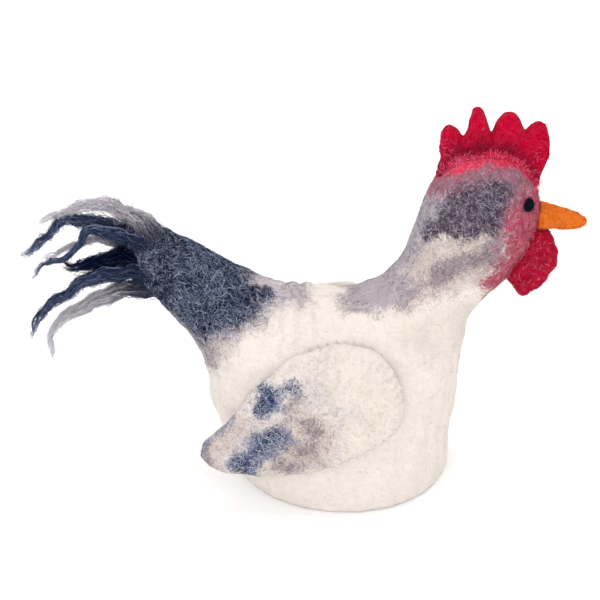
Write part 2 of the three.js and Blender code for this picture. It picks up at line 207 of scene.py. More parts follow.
# Where each wool was laid: outlines (x, height as seen), the same on either side of the bird.
LAID = {
    # Painted shade, not a wool: the cream of the neck's front, a little darker.
    "oat": [
        [(27, 52), (36, 50), (46, 54), (60, 60), (63, 54), (56, 44), (48, 36), (38, 34), (28, 40)],
    ],
    "mauve": [
        [(-10.3, 95), (-7.3, 62), (-2, 60), (3, 58.5), (2.6, 55), (0.8, 52.4), (-1.1, 53.9), (-3.6, 52.4),
         (-7.3, 53.5), (-9.4, 46.8), (-10.1, 44.3), (-11.9, 46), (-16.7, 44.3), (-19.6, 41), (-21.9, 35.8),
         (-24.6, 33.5), (-27, 34.5), (-29.1, 37), (-32.6, 41), (-35.5, 46.5), (-38, 50), (-60, 50),
         (-60, 95)],
    ],
    "veil": [
        [(31, 68), (35, 73), (40, 75.5), (48, 76), (56, 78), (60, 76), (61, 66), (52, 61), (42.6, 57),
         (35.2, 53.5), (28, 52), (27, 58)],
    ],
    "stripe": [
        [(26.2, 58.3), (31.8, 59.6), (35.2, 61.8), (37.5, 64.4), (39.9, 66.4), (43.6, 68.4),
         (47.2, 69.9), (51, 71.6), (54, 76.5), (58, 77), (59.5, 73), (58.5, 68), (55.5, 65.2), (52.4, 65.4),
         (48.6, 64.7), (44.9, 62.2), (41.3, 60.2), (37.6, 58.8), (35.2, 57), (32.2, 54.6), (28, 53.5),
         (26, 56)],
    ],
    "nape": [
        [(28, 97), (38, 93), (43, 89.5), (44, 80), (42, 76), (38.5, 74), (35.5, 71.5), (33.7, 68.7),
         (32.7, 65.3), (29.9, 64.2), (33.2, 61.2), (31.8, 56.3), (28, 54.5), (24, 52), (20.5, 50),
         (12, 52), (16, 75)],
    ],
    "rose": [
        [(33, 90), (37.7, 87.5), (43, 86), (50, 88), (55, 84), (55.5, 78.5), (58, 76), (65, 76), (69, 84),
         (67, 100), (60, 106), (40, 106), (30, 98)],
        [(57, 80), (66, 80), (68, 70), (62, 58), (55, 59), (57, 67)],
    ],
    "slate": [
        [(34, 75.3), (37.2, 74.4), (41.4, 74), (44.8, 73.5), (48.7, 74.4), (52.5, 75.2), (55.7, 75.7),
         (57.1, 78.8), (57.8, 82.3), (60.1, 87.2), (60.4, 89.6), (58.8, 91.6), (53, 92.6), (49.9, 92.2),
         (46.8, 90.8), (43.8, 89.8), (41.2, 88.2), (39.8, 85.6), (38.6, 82.5), (35.8, 79)],
    ],
    "pink": [
        [(64.5, 94), (64, 91.5), (63.2, 89.4), (61.8, 87), (60.2, 85.8), (59, 83.5), (58.4, 80.8),
         (59.2, 77), (57.8, 74.6), (57.6, 72), (57.4, 69.5), (56.4, 66), (55, 62.9), (53, 60.9),
         (53, 56), (62, 50), (85, 65), (85, 92)],
    ],
    "crimson": [
        [(30, 92.8), (36, 93.2), (39.2, 94.2), (41.7, 94.6), (45, 95), (47.7, 96.4), (53.1, 97.3),
         (57.9, 97), (61, 96.2), (63.6, 94.8), (67, 93), (75, 92), (70, 116), (30, 116)],
        [(58.4, 78), (59.4, 78.7), (60.7, 78.2), (60.2, 77.2), (58.8, 77)],
    ],
    "navy": [
        [(-60, 95), (-14, 95), (-13.5, 61), (-9.9, 59.6), (-8, 58.8), (-7.8, 56), (-9.4, 53.5), (-10.1, 51),
         (-11.9, 48.9), (-15.9, 47.7), (-18.9, 45.2), (-20.7, 43.5), (-23.4, 41.6), (-25.6, 40.8),
         (-28, 41.6), (-30.4, 43.6), (-33, 46.6), (-35, 49), (-37, 51), (-60, 51)],
    ],
}
# Each wool: the colour of its matted ground, the width in millimetres over which its edge blends
# into its neighbour, and the loose fibres that show on it, with the share of each.
WOOLS = {
    "cream": dict(ground=(242, 232, 223), blend=0, fibres=[
        (0.55, (246, 239, 229)), (0.33, (239, 229, 218)), (0.12, (231, 220, 213))]),
    # Painted shade on the cream, laid out like a wool: the neck's front and the wing's inner field.
    "oat": dict(ground=(233, 223, 212), blend=8, fibres=[
        (0.6, (240, 230, 219)), (0.25, (228, 216, 206)), (0.15, (218, 205, 198))]),
    "cloud": dict(ground=(226, 216, 211), blend=6, fibres=[
        (0.5, (242, 236, 232)), (0.34, (212, 203, 206)), (0.14, (178, 165, 174)), (0.02, (120, 118, 142))]),
    "mauve": dict(ground=(202, 190, 194), blend=3.4, fibres=[
        (0.4, (208, 198, 202)), (0.25, (234, 228, 230)), (0.2, (142, 122, 132)), (0.15, (112, 92, 104))]),
    "veil": dict(ground=(216, 200, 192), blend=5, fibres=[
        (0.4, (230, 216, 208)), (0.3, (200, 184, 180)), (0.18, (172, 154, 158)), (0.12, (240, 230, 222))]),
    "stripe": dict(ground=(160, 142, 146), blend=3.4, fibres=[
        (0.35, (172, 156, 162)), (0.25, (208, 197, 197)), (0.25, (100, 82, 94)), (0.15, (128, 112, 120))]),
    "nape": dict(ground=(180, 168, 175), blend=4, fibres=[
        (0.42, (198, 190, 198)), (0.28, (224, 220, 224)), (0.18, (136, 124, 136)), (0.12, (106, 94, 110))]),
    "slate": dict(ground=(74, 58, 74), blend=3.4, fibres=[
        (0.34, (168, 156, 170)), (0.16, (206, 198, 210)), (0.2, (108, 90, 106)), (0.3, (56, 40, 54))]),
    "pink": dict(ground=(182, 68, 88), blend=4.6, fibres=[
        (0.4, (204, 94, 112)), (0.16, (232, 160, 172)), (0.32, (168, 44, 68)), (0.12, (130, 78, 94))]),
    "rose": dict(ground=(150, 102, 116), blend=3, fibres=[
        (0.35, (196, 128, 142)), (0.25, (224, 172, 182)), (0.25, (150, 68, 88)), (0.15, (112, 90, 104))]),
    "crimson": dict(ground=(236, 46, 86), blend=1.8, fibres=[
        (0.42, (242, 76, 110)), (0.26, (255, 146, 168)), (0.26, (216, 18, 64)), (0.06, (150, 4, 42))]),
    "navy": dict(ground=(14, 24, 52), blend=2.6, fibres=[
        (0.28, (136, 147, 176)), (0.14, (194, 202, 220)), (0.28, (52, 62, 94)), (0.3, (14, 22, 50))]),
    "indigo": dict(ground=(40, 51, 84), blend=3, fibres=[
        (0.3, (200, 207, 226)), (0.3, (138, 148, 178)), (0.22, (82, 92, 128)), (0.18, (30, 40, 76))]),
    "dusk": dict(ground=(122, 124, 146), blend=3.2, fibres=[
        (0.34, (224, 224, 230)), (0.28, (176, 176, 190)), (0.18, (104, 108, 134)), (0.2, (38, 46, 76))]),
}
# These are nearly as pale as the cream, so they bring no extra painted shade in the gaps, no extra pale
# threads and no extra fibres.
PALE_WOOLS = ("oat", "cloud")


def depth(points, wools, laid=LAID):
    """How deep points lie in each laid wool, in millimetres, its edges a little ragged."""
    ragged = 0.9 * drift(points, 9, 3) + 0.5 * drift(points, 3.4, 5)
    return {name: np.max([inside(points, o) for o in laid[name]], axis=0) + ragged for name in wools}


WELL_WITHIN = 0.15  # how far inside its edge, in widths of its blend, a wool shows its darker fibres


def fibre_colours(points, rng, ground="cream", laid=LAID, stray=1.0):
    """Each fibre takes one of the wools laid within a stray's reach of where it lies."""
    here = points + rng.normal(0, stray, points.shape)
    names = np.full(len(points), ground, dtype=object)
    within = np.full(len(points), 9.0)
    for name, deep in depth(here, laid, laid).items():
        taken = rng.random(len(points)) < np.clip(deep / WOOLS[name]["blend"] + 0.5, 0, 1)
        names[taken], within[taken] = name, deep[taken] / WOOLS[name]["blend"]
    colours = np.zeros((len(points), 3))
    for name in sorted(set(names)):
        mine = np.flatnonzero(names == name)
        shares, tints = zip(*WOOLS[name]["fibres"])
        pick = rng.choice(len(tints), len(mine), p=shares)
        # Along a wool's edge only its first two kinds of fibre show, which are its paler ones.
        pick = np.where((within[mine] < WELL_WITHIN) & (pick > 1), pick % 2, pick)
        colours[mine] = np.array([wool(*t) for t in tints])[pick]
    return colours * rng.uniform(0.88, 1.1, (len(points), 1))


def group(name, sockets):
    """An empty effect with the sockets listed: its tree, what it is given and where its results go."""
    made = bpy.data.node_groups.new(name, "ShaderNodeTree")
    for socket, way, kind, value in sockets:
        held = made.interface.new_socket(name=socket, in_out=way, socket_type=kind)
        if value is not None:
            held.default_value = value
    return made, node(made, "NodeGroupInput").outputs, node(made, "NodeGroupOutput")


def calc(tree, work, a, b=0.5, clamp=False):
    """One sum on two values, either of them a number or a socket."""
    made = node(tree, "ShaderNodeMath", operation=work, use_clamp=clamp)
    for k, value in enumerate((a, b)):
        if isinstance(value, bpy.types.NodeSocket):
            tree.links.new(value, made.inputs[k])
        else:
            made.inputs[k].default_value = value
    return made.outputs[0]


def tint(tree, share, a, b, way="MIX"):
    """Colour a with a share of colour b mixed, or multiplied, into it."""
    made = node(tree, "ShaderNodeMix", data_type="RGBA", blend_type=way)
    for k, value in ((0, share), (6, a), (7, b)):
        if isinstance(value, bpy.types.NodeSocket):
            tree.links.new(value, made.inputs[k])
        else:
            made.inputs[k].default_value = value if k == 0 else (*value, 1)
    return made.outputs[2]


def moved(tree, place, shift):
    """A place on the object, shifted."""
    made = node(tree, "ShaderNodeVectorMath", operation="ADD")
    tree.links.new(place, made.inputs[0])
    if isinstance(shift, bpy.types.NodeSocket):
        tree.links.new(shift, made.inputs[1])
    else:
        made.inputs[1].default_value = shift
    return made.outputs[0]


# Curly fibres matted into the surface: bright threads where one lies on top, painted shade in the gaps
# between them where the relief is low, and their relief.
fibre_mat, given, result = group("matted_fibres", [
    ("Place", "INPUT", "NodeSocketVector", None),
    ("Fineness", "INPUT", "NodeSocketFloat", 0.62),
    ("Thread", "INPUT", "NodeSocketFloat", 0.055),
    ("Threads", "OUTPUT", "NodeSocketFloat", None),
    ("Shade_in_gaps", "OUTPUT", "NodeSocketFloat", None),
    ("Relief", "OUTPUT", "NodeSocketFloat", None),
])
sway = node(fibre_mat, "ShaderNodeTexNoise", {"Vector": given["Place"], "Scale": 0.4, "Detail": 1.0})
swayed = node(fibre_mat, "ShaderNodeVectorMath", {"Scale": 2.4}, operation="SCALE")
fibre_mat.links.new(sway.outputs["Color"], swayed.inputs[0])
curly = moved(fibre_mat, given["Place"], swayed.outputs[0])
threads = None
for k, shift in enumerate([(0, 0, 0), (31, 7, 13), (5, 43, 29), (17, 23, 61)]):
    lines = node(fibre_mat, "ShaderNodeTexNoise", {
        "Vector": moved(fibre_mat, curly, shift), "Detail": 0.0,
        "Scale": calc(fibre_mat, "MULTIPLY", given["Fineness"], 1 + 0.22 * k),
    })
    off_line = calc(fibre_mat, "ABSOLUTE", calc(fibre_mat, "SUBTRACT", lines.outputs["Fac"], 0.5))
    line = calc(fibre_mat, "SUBTRACT", 1.0, calc(fibre_mat, "DIVIDE", off_line, given["Thread"]), True)
    broken = node(fibre_mat, "ShaderNodeTexNoise", {
        "Vector": moved(fibre_mat, given["Place"], shift[::-1]), "Scale": 0.55, "Detail": 0.0,
    })
    there = node(fibre_mat, "ShaderNodeMapRange", {
        "Value": broken.outputs["Fac"], "From Min": 0.44, "From Max": 0.56,
    })
    line = calc(fibre_mat, "MULTIPLY", line, there.outputs[0])
    threads = line if threads is None else calc(fibre_mat, "MAXIMUM", threads, line)
grit = node(fibre_mat, "ShaderNodeTexNoise", {"Vector": curly, "Scale": 1.5, "Detail": 2.0})
# Painted shade: the low places of the relief, the gaps between fibres, are darkened.
gaps = node(fibre_mat, "ShaderNodeMapRange", {
    "Value": grit.outputs["Fac"], "From Min": 0.42, "From Max": 0.3,
})
relief = calc(fibre_mat, "ADD", calc(fibre_mat, "MULTIPLY", threads, 0.6), grit.outputs["Fac"])
fibre_mat.links.new(threads, result.inputs["Threads"])
fibre_mat.links.new(gaps.outputs[0], result.inputs["Shade_in_gaps"])
fibre_mat.links.new(relief, result.inputs["Relief"])

# A laid wool's cover: full well within its outline, and broken up by fibres along the edge.
wool_cover, given, result = group("laid_wool_cover", [
    ("Depth", "INPUT", "NodeSocketFloat", None),
    ("Place", "INPUT", "NodeSocketVector", None),
    ("Blend", "INPUT", "NodeSocketFloat", 3.0),
    ("Cover", "OUTPUT", "NodeSocketFloat", None),
])
cloud = node(wool_cover, "ShaderNodeTexNoise", {"Vector": given["Place"], "Scale": 0.3, "Detail": 2.0})
hairs = node(wool_cover, "ShaderNodeTexNoise", {"Vector": given["Place"], "Scale": 1.6, "Detail": 1.0})
broken_up = calc(
    wool_cover, "ADD",
    calc(wool_cover, "MULTIPLY", calc(wool_cover, "SUBTRACT", cloud.outputs["Fac"]), 2.4),
    calc(wool_cover, "MULTIPLY", calc(wool_cover, "SUBTRACT", hairs.outputs["Fac"]), 3.2),
)
rough_depth = calc(
    wool_cover, "ADD", given["Depth"],
    calc(wool_cover, "MULTIPLY", broken_up, calc(wool_cover, "MULTIPLY", given["Blend"], 0.5)),
)
cover = node(wool_cover, "ShaderNodeMapRange", {
    "Value": rough_depth,
    "From Min": calc(wool_cover, "MULTIPLY", given["Blend"], -0.5),
    "From Max": calc(wool_cover, "MULTIPLY", given["Blend"], 0.5),
}, interpolation_type="SMOOTHSTEP")
wool_cover.links.new(cover.outputs[0], result.inputs["Cover"])

FIBRE_HEIGHT = 0.25  # how far the matted fibres of a felt stand up, in millimetres


def felt(name, ground, wools=(), pale=0.3, pale_share=0.1, dark_share=0.1, relief=0.5, fineness=0.7):
    """Felt of a ground wool with others laid on it, matted fibres over all: the threads that lie on top are
    paler by a part, and the gaps between them carry painted shade, darker by a part. Without a ground it
    takes the colour noted at each point."""
    made = bpy.data.materials.new(name)
    made.use_nodes = True
    tree = made.node_tree
    shader = tree.nodes["Principled BSDF"]
    place = node(tree, "ShaderNodeVectorMath", {"Scale": 1 / MM}, operation="SCALE")
    tree.links.new(node(tree, "ShaderNodeTexCoord").outputs["Object"], place.inputs[0])
    place = place.outputs[0]
    clouds = node(tree, "ShaderNodeTexNoise", {"Vector": place, "Scale": 0.13, "Detail": 3.0})
    if ground:
        own = wool(*ground)
        colour = tint(tree, clouds.outputs["Fac"], [c * 1.06 for c in own], [c * 0.94 for c in own])
    else:
        colour = node(tree, "ShaderNodeAttribute", attribute_name="wool").outputs["Color"]
    dark = None
    for laid in wools:
        cover = node(tree, "ShaderNodeGroup", {}, node_tree=wool_cover)
        deep = node(tree, "ShaderNodeAttribute", attribute_name=laid)
        tree.links.new(deep.outputs["Fac"], cover.inputs["Depth"])
        tree.links.new(place, cover.inputs["Place"])
        cover.inputs["Blend"].default_value = WOOLS[laid]["blend"]
        share = cover.outputs[0]
        own = wool(*WOOLS[laid]["ground"])
        mottle = tint(tree, clouds.outputs["Fac"], [c * 0.8 for c in own], [c * 1.2 for c in own])
        colour = tint(tree, share, colour, mottle)
        if laid not in PALE_WOOLS:
            dark = share if dark is None else calc(tree, "MAXIMUM", dark, share)
    matted = node(tree, "ShaderNodeGroup", {}, node_tree=fibre_mat)
    tree.links.new(place, matted.inputs["Place"])
    matted.inputs["Fineness"].default_value = fineness
    pale_part, dark_part = pale_share, dark_share
    if dark is not None:
        pale_part = calc(tree, "ADD", calc(tree, "MULTIPLY", dark, 0.6), pale_share)
        dark_part = calc(tree, "ADD", calc(tree, "MULTIPLY", dark, 0.45), dark_share)
    # Painted shade in the gaps between the matted fibres, deeper where dark wool was laid.
    colour = tint(tree, calc(tree, "MULTIPLY", matted.outputs["Shade_in_gaps"], dark_part), colour,
                  [0.25, 0.22, 0.25], "MULTIPLY")
    paler = tint(tree, pale, colour, [0.6, 0.62, 0.74])
    colour = tint(tree, calc(tree, "MULTIPLY", matted.outputs["Threads"], pale_part), colour, paler)
    tree.links.new(colour, shader.inputs["Base Color"])
    bump = node(tree, "ShaderNodeBump", {
        "Strength": relief, "Distance": FIBRE_HEIGHT * MM, "Height": matted.outputs["Relief"],
    })
    tree.links.new(bump.outputs[0], shader.inputs["Normal"])
    shader.inputs["Roughness"].default_value = 1.0
    shader.inputs["Specular IOR Level"].default_value = 0.04
    shader.inputs["Sheen Weight"].default_value = 0.03
    shader.inputs["Sheen Roughness"].default_value = 0.6
    return made


loose_wool = bpy.data.materials.new("loose_wool")
loose_wool.use_nodes = True
tree = loose_wool.node_tree
own = node(tree, "ShaderNodeAttribute", attribute_name="wool")
along = node(tree, "ShaderNodeTexNoise", {"Scale": 900.0, "Detail": 1.0})
mild = node(tree, "ShaderNodeMapRange", {"Value": along.outputs["Fac"], "To Min": 0.86, "To Max": 1.1})
shaded = node(tree, "ShaderNodeVectorMath", operation="SCALE")
tree.links.new(own.outputs["Color"], shaded.inputs[0])
tree.links.new(mild.outputs[0], shaded.inputs["Scale"])
tree.links.new(shaded.outputs[0], tree.nodes["Principled BSDF"].inputs["Base Color"])
tree.nodes["Principled BSDF"].inputs["Roughness"].default_value = 1.0
tree.nodes["Principled BSDF"].inputs["Specular IOR Level"].default_value = 0.04


def ribbons(name, lines, sides, widths, colours):
    """Flat fibres along lines of points, with their ways across, widths and colours."""
    count, steps = lines.shape[:2]
    taper = np.sin(np.linspace(0.12, math.pi - 0.12, steps)) ** 0.5
    half = 0.5 * widths[:, None, None] * taper[None, :, None] * sides
    points = np.stack([lines - half, lines + half], 2).reshape(-1, 3)
    row = np.arange(count * steps).reshape(count, steps)[:, :-1].ravel() * 2
    faces = np.stack([row, row + 1, row + 3, row + 2], 1)
    made = build(name, points, faces, loose_wool)
    note(made, "wool", np.repeat(colours.reshape(-1, 3), len(points) * 3 // colours.size, 0))
    return made


def scatter(points, faces, count, rng, weight=None):
    """Places spread evenly, or by weight, over a skin, with the normal at each."""
    corners = points[faces]
    across = np.cross(corners[:, 2] - corners[:, 0], corners[:, 3] - corners[:, 1])
    area = np.linalg.norm(across, axis=1)
    out = across / np.maximum(area, 1e-9)[:, None]
    chance = area if weight is None else area * weight(corners.mean(1), out)
    pick = rng.choice(len(faces), count, p=chance / chance.sum())
    u, v = rng.random((2, count, 1))
    c = corners[pick]
    spot = (c[:, 0] * (1 - u) + c[:, 1] * u) * (1 - v) + (c[:, 3] * (1 - u) + c[:, 2] * u) * v
    return spot, out[pick]


def curls(name, points, faces, count, seed, colour, weight=None, length=(1.5, 3.4), width=(0.09, 0.15),
          lift=0.24, curl=1.0, fly=0.12, steps=5):
    """Curly fibres that lie every way on a skin, a few of them with their ends in the air."""
    rng = np.random.default_rng(seed)
    spot, out = scatter(points, faces, count, rng, weight)
    east = np.cross(out, rng.normal(size=(count, 3)))
    east /= np.linalg.norm(east, axis=1)[:, None]
    north = np.cross(out, east)
    t = np.linspace(0, 1, steps)[None]
    bend = rng.uniform(-1.6, 1.6, (count, 1)) * t * curl
    for waves in (1, 2):
        bend = bend + curl * rng.normal(0, 0.9, (count, 1)) * np.sin(
            2 * math.pi * waves * 0.8 * t + rng.uniform(0, 6.3, (count, 1))
        )
    step = rng.uniform(*length, (count, 1)) / (steps - 1)
    flat = np.cumsum(np.stack([np.cos(bend) * step, np.sin(bend) * step], 2), 1)
    lines = spot[:, None] + flat[..., :1] * east[:, None] + flat[..., 1:] * north[:, None]
    skin = BVHTree.FromPolygons(points.tolist(), faces.tolist())
    base = lines.reshape(-1, 3)
    normals = np.empty_like(base)
    for k, p in enumerate(base.tolist()):
        near, normal = skin.find_nearest(p)[:2]
        base[k], normals[k] = near, normal
    lines, normals = base.reshape(count, steps, 3), normals.reshape(count, steps, 3)
    low, arched = rng.uniform(0.15, 1, (count, 1)), rng.uniform(0.1, 1, (count, 1))
    rise = lift * low * (0.35 + np.sin(math.pi * t) * arched)
    flying = (rng.random((count, 1)) < fly) * rng.uniform(0.3, 1.1, (count, 1))
    rise = rise + flying * np.clip(t - 0.35, 0, 1) ** 1.5
    lines = lines + normals * rise[..., None]
    ahead = np.gradient(lines, axis=1)
    sides = np.cross(normals, ahead)
    sides /= np.maximum(np.linalg.norm(sides, axis=2), 1e-9)[..., None]
    roll = rng.uniform(-0.5, 0.5, (count, 1, 1))
    roll = roll + (flying[..., None] > 0) * rng.uniform(0, 1.5, (count, 1, 1))
    sides = np.cos(roll) * sides + np.sin(roll) * normals
    return ribbons(name, lines, sides, rng.uniform(*width, count), colour(spot, rng))


def belongs(piece, slot, *nodes):
    """Every piece rides on the one body; the slot it is given is not used."""
    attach(piece, "root")
    if nodes:
        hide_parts(*nodes)


shell_points, shell_out, shell_faces = refelt("shell", 1.15, 14)
x, z = shell_points[:, 0], shell_points[:, 2]
BODY_X = 11  # the middle of the body's round, along the bird
outer_side = np.clip((shell_out * (shell_points - [BODY_X, 0, 20]) * [1, 1, 0.4]).sum(1) / 8, 0, 1)
swell = 0.3 * drift(shell_points, 13, 11) + 0.14 * drift(shell_points, 5, 12)
swell += 0.2 * drift(shell_points * [1, 1, 0.22], 5.5, 13) * np.clip((60 - z) / 20, 0, 1)
# Shrink folds on the back, where the felt of the back was worked down into the tail.
FOLDS_FROM, FOLDS_TO, FOLDS_APART, FOLDS_DEEP = 44, 59.5, 4.6, 0.5
fold_spread = np.exp(-(((x + 0.5) / 7) ** 2)) * np.clip((z - FOLDS_FROM) / 5, 0, 1)
fold_spread *= np.clip((FOLDS_TO - z) / 3, 0, 1)
folds = np.cos(2 * math.pi * (x + 1.4 + 0.5 * drift(shell_points, 9, 14)) / FOLDS_APART)
swell += FOLDS_DEEP * folds * fold_spread
shell_points += shell_out * (swell * outer_side * np.clip(z / 3, 0, 1))[:, None]
settle = shell_points[:, 2].min()
HEM_ROUND = 6  # how far up from the hem the felt is eased so that it rests on the table
shell_points[:, 2] -= settle * np.clip(1 - shell_points[:, 2] / HEM_ROUND, 0, 1)
shell_wools = tuple(LAID)
shell = build("shell_felt", shell_points, shell_faces,
              felt("bird_felt", WOOLS["cream"]["ground"], shell_wools))
for name, deep in depth(shell_points, shell_wools).items():
    note(shell, name, deep)
belongs(shell, "body_felt", "shell")

HOLLOW_TOP = 62  # no part of the hollow's wall that fibres could land on is higher


def outer_only(centres, out):
    """Nought on the hollow's wall and under the hem, one on the outside."""
    outward = (out[:, :2] * (centres[:, :2] - [BODY_X, 0])).sum(1) > -2
    return (outward | (centres[:, 2] > HOLLOW_TOP)) & (centres[:, 2] > 0.8)


def on_dark(centres, out):
    """More fibres where dark or red wool was laid, which shows them."""
    deep = depth(centres, [name for name in shell_wools if name not in PALE_WOOLS])
    laid = np.max([np.clip(d / 4 + 0.6, 0, 1) for d in deep.values()], axis=0)
    return outer_only(centres, out) * laid


belongs(curls("shell_fibres_cream", shell_points, shell_faces, 5000, 21, fibre_colours, outer_only,
              width=(0.08, 0.13), lift=0.05, fly=0.05), "body_felt")
for part, towards, seed, count, length, curl, fly in (
    ("tail", -1, 22, 14500, (1.8, 4.2), 0.7, 0.35), ("head", 1, 23, 14200, (1.3, 3.0), 1.0, 0.12),
):
    belongs(curls(
        "shell_fibres_" + part, shell_points, shell_faces, count, seed, fibre_colours,
        lambda centres, out: on_dark(centres, out) * (towards * (centres[:, 0] - BODY_X) > 0),
        length, (0.07, 0.115), 0.24, curl, fly,
    ), "body_felt")

# Comb.
# The comb is a thick flat of crimson felt cut into four lobes and needled down onto the crown,
# with pink and crimson fibres of the crown drawn up over its foot.
comb_points, comb_out, comb_faces = refelt("comb", 0.6, 7)
comb_lumps = 0.22 * drift(comb_points, 5, 31) + 0.06 * drift(comb_points, 2, 32)
comb_points += comb_out * (0.2 + comb_lumps)[:, None]
CROWN = [
    (36, 92.5), (39.5, 96.2), (44, 99.6), (49, 101.8), (54, 102), (59, 100.6), (63, 97.6), (66.5, 93),
    (69, 88),
]


def above_crown(points):
    """How far points stand above the line where the comb's foot meets the crown."""
    place = np.asarray(points)
    return place[:, 2] - np.interp(place[:, 0], *zip(*CROWN))


FOOT_HEIGHT, FOOT_SUNK, FOOT_SPREAD = 1.5, 0.8, 0.3
foot = np.clip(1 - above_crown(comb_points) / FOOT_HEIGHT, 0, 1)
comb_points[:, 2] -= FOOT_SUNK * foot
comb_points[:, 1] *= 1 + FOOT_SPREAD * foot
# Creases that run down from the notches between the lobes, with painted shade along them, and how much
# deeper each notch is cut.
CREASES = [
    ((46, 107.3), (44.4, 102.6), 1.0),
    ((53.7, 109.2), (53.3, 104.2), 2.6),
    ((62.9, 109.1), (62.4, 104), 1.1),
]
crease = np.zeros(len(comb_points))
for (ax, az), (bx, bz), notch in CREASES:
    rx, rz = comb_points[:, 0] - ax, comb_points[:, 2] - az
    along = np.clip((rx * (bx - ax) + rz * (bz - az)) / ((bx - ax) ** 2 + (bz - az) ** 2), 0, 1)
    off = np.hypot(rx - along * (bx - ax), rz - along * (bz - az))
    crease = np.maximum(crease, np.exp(-((off / 0.9) ** 2)) * (1 - 0.5 * along))
    comb_points[:, 2] -= notch * np.exp(-((rx / 1.2) ** 2)) * np.clip(rz / 5 + 1, 0, 1)
comb_points[:, 1] *= 1 - 0.3 * crease
# Painted shade: the comb's red is darker toward its foot and along the creases under the notches.
RED, SHADED_RED = np.array(wool(198, 0, 50)), np.array(wool(126, 0, 38))
PAINTED_SHADE_UP_TO = 8.4  # how far above the crown the painted shade at the comb's foot fades out
shadow = np.clip((PAINTED_SHADE_UP_TO + 0.9 * drift(comb_points, 6, 34) - above_crown(comb_points)) / 7, 0, 1)
shadow = np.maximum(shadow, 0.35 * crease)[:, None]
comb = build("comb_felt", comb_points, comb_faces,
             felt("comb_red", None, pale=0.08, pale_share=0.3, dark_share=0.12, relief=0.35, fineness=0.8))
note(comb, "wool", RED * (1 - shadow) + SHADED_RED * shadow)
belongs(comb, "red_felt", "comb")


def red_fibres(points, rng):
    """The comb's reds, with painted shade that darkens them toward its foot, and strays of pink at its two
    ends.
    """
    tints = np.array([wool(*t) for t in [(202, 6, 54), (178, 0, 42), (216, 40, 80), (236, 112, 140)]])
    pick = rng.choice(4, len(points), p=[0.48, 0.48, 0.036, 0.004])
    ends = np.clip((43.5 - points[:, 0]) / 5, 0, 0.5) + np.clip((points[:, 0] - 64) / 6, 0, 0.45)
    stray = rng.random(len(points)) < ends * np.clip(1.6 - above_crown(points) / 8, 0, 1)
    pick[stray] = 3 - (rng.random(stray.sum()) < 0.5)
    # Painted shade toward the comb's foot, as on its felt; the strays keep their own colour.
    shade = np.clip(1 - (8 - above_crown(points)) / 10, 0.4, 1)
    return tints[pick] * np.where(stray, 1, shade)[:, None]


def comb_ends(centres, out):
    """More fibres at the comb's back, and at its front."""
    return 0.6 + 0.8 * (centres[:, 0] < 43) + 0.5 * (centres[:, 0] > 65)


belongs(curls("comb_fibres", comb_points, comb_faces, 3600, 33, red_fibres, comb_ends,
              length=(1.0, 2.2), width=(0.08, 0.13), lift=0.12, fly=0.15), "red_felt")

shell_skin = BVHTree.FromPolygons(shell_points.tolist(), shell_faces.tolist())
COMB_FACE = 2.2  # how far either face of the comb is from the middle


def drawn_up(name, count, seed):
    """Curly fibres from the crown that stand up against either face of the comb."""
    rng = np.random.default_rng(seed)
    x = rng.uniform(41, 67, count)
    side = np.where(rng.random(count) < 0.5, 1, -1)
    y = side * rng.uniform(COMB_FACE - 0.3, 3.0, count)
    start = []
    for px, py in zip(x, y):
        hit = shell_skin.ray_cast((px, py, 120), (0, 0, -1))[0]
        start.append(hit if hit is not None else (px, py, 0))
    start = np.array([list(p) for p in start])
    kept = start[:, 2] > 85
    start, side = start[kept], side[kept]
    count, steps = len(start), 6
    t = np.linspace(0, 1, steps)[None]
    lean = rng.normal(0, 0.7, (count, 1)) + rng.uniform(-1.5, 1.5, (count, 1)) * t
    lean = lean + rng.normal(0, 0.7, (count, 1)) * np.sin(6 * t + rng.uniform(0, 6, (count, 1)))
    step = rng.uniform(0.6, 2.9, (count, 1)) / (steps - 1)
    run = np.cumsum(np.stack([np.sin(lean) * step, np.zeros_like(lean), np.cos(lean) * step], 2), 1)
    lines = start[:, None] + run
    gone = rng.uniform(COMB_FACE, 2.75, (count, 1)) * side[:, None]
    lines[..., 1] = start[:, None, 1] * (1 - t) + gone * t
    ahead = np.gradient(lines, axis=1)
    sides = np.cross(ahead, [0, 1, 0])
    sides /= np.linalg.norm(sides, axis=2)[..., None]
    tints = np.array([wool(*c) for c in [(234, 56, 96), (248, 122, 150), (206, 16, 62), (212, 110, 134)]])
    colours = tints[rng.choice(4, count, p=[0.42, 0.16, 0.36, 0.06])]
    return ribbons(name, lines, sides, rng.uniform(0.08, 0.14, count), colours)


belongs(drawn_up("crown_fibres_on_comb", 2600, 35), "red_felt")

# Wattle.
# The wattle is one thick lobe of the same crimson felt, needled to the throat under the beak.
wattle_points, wattle_out, wattle_faces = refelt("wattle", 0.6, 10)
wattle_lumps = 0.25 * drift(wattle_points, 5, 41) + 0.08 * drift(wattle_points, 2, 42)
wattle_points += wattle_out * (0.25 + wattle_lumps)[:, None]
wattle = build("wattle_felt", wattle_points, wattle_faces,
               felt("wattle_red", (188, 0, 50), pale=0.1, pale_share=0.4, dark_share=0.25, fineness=0.75))
belongs(wattle, "red_felt", "wattle")


def mixture(*fibres):
    """A mix of loose fibres, given by the share and the look of each."""
    shares, tints = zip(*fibres)
    tints = np.array([wool(*t) for t in tints])
    return lambda points, rng: tints[rng.choice(len(tints), len(points), p=shares)]


def round_foot(points, faces):
    """A weight that is greatest where the shell meets a piece, and nought away from it."""
    skin = BVHTree.FromPolygons(points.tolist(), faces.tolist())

    def weight(centres, out):
        apart = np.array([skin.find_nearest(p, 8)[3] or 8 for p in centres.tolist()])
        return np.clip(1.2 - apart / 5, 0, 1) ** 2 * outer_only(centres, out)

    return weight


